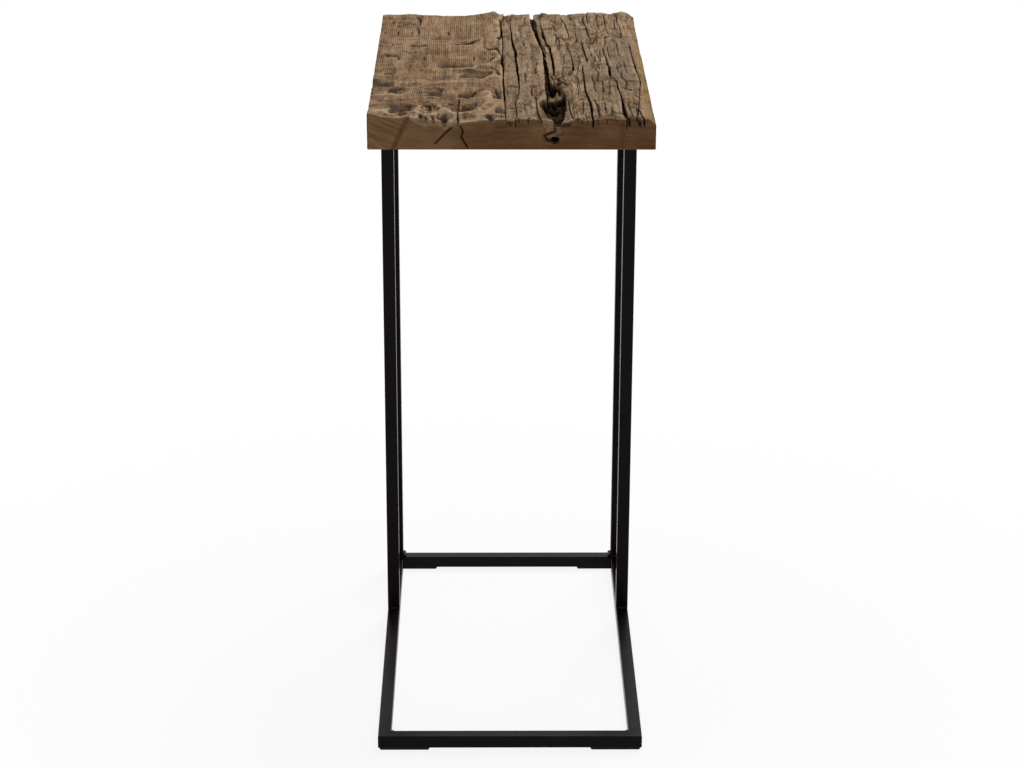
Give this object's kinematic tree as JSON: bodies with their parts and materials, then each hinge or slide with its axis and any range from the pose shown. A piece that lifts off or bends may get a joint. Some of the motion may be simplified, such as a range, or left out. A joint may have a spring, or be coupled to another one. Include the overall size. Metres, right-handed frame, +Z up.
{
  "type": "c-shaped accent table",
  "caption": "Narrow C-shaped accent table: a slab of old split timber screwed to a welded frame of square black iron bar, open at the front to slide over a seat.",
  "frame": {"origin": "on the floor, at the middle of the floor ring's footprint", "axes": "+Z up, +Y from the open front to the back, where the uprights are, +X to the right seen from the front"},
  "size_m": [0.264, 0.436, 0.641],
  "materials": {
    "old_timber": "weathered, dry, unvarnished",
    "black_iron": "matte black",
    "screw_steel": "dull zinc",
    "pad_rubber": "matte black"
  },
  "bodies": {
    "root": {"slab": "old_timber", "floor_bar_front": "black_iron", "floor_bar_back": "black_iron", "floor_bar_left": "black_iron", "floor_bar_right": "black_iron", "upright_front_left": "black_iron", "upright_front_right": "black_iron", "upright_rear_left": "black_iron", "upright_rear_right": "black_iron", "top_bar_front": "black_iron", "top_bar_back": "black_iron", "top_bar_left": "black_iron", "top_bar_right": "black_iron", "foot_weld_beads": "black_iron", "head_weld_beads": "black_iron", "floor_ring_corner_welds": "black_iron", "top_ring_corner_welds": "black_iron", "slab_screws": "screw_steel", "foot_pad_front_left": "pad_rubber", "foot_pad_front_right": "pad_rubber", "foot_pad_rear_left": "pad_rubber", "foot_pad_rear_right": "pad_rubber"}
  },
  "joints": []
}
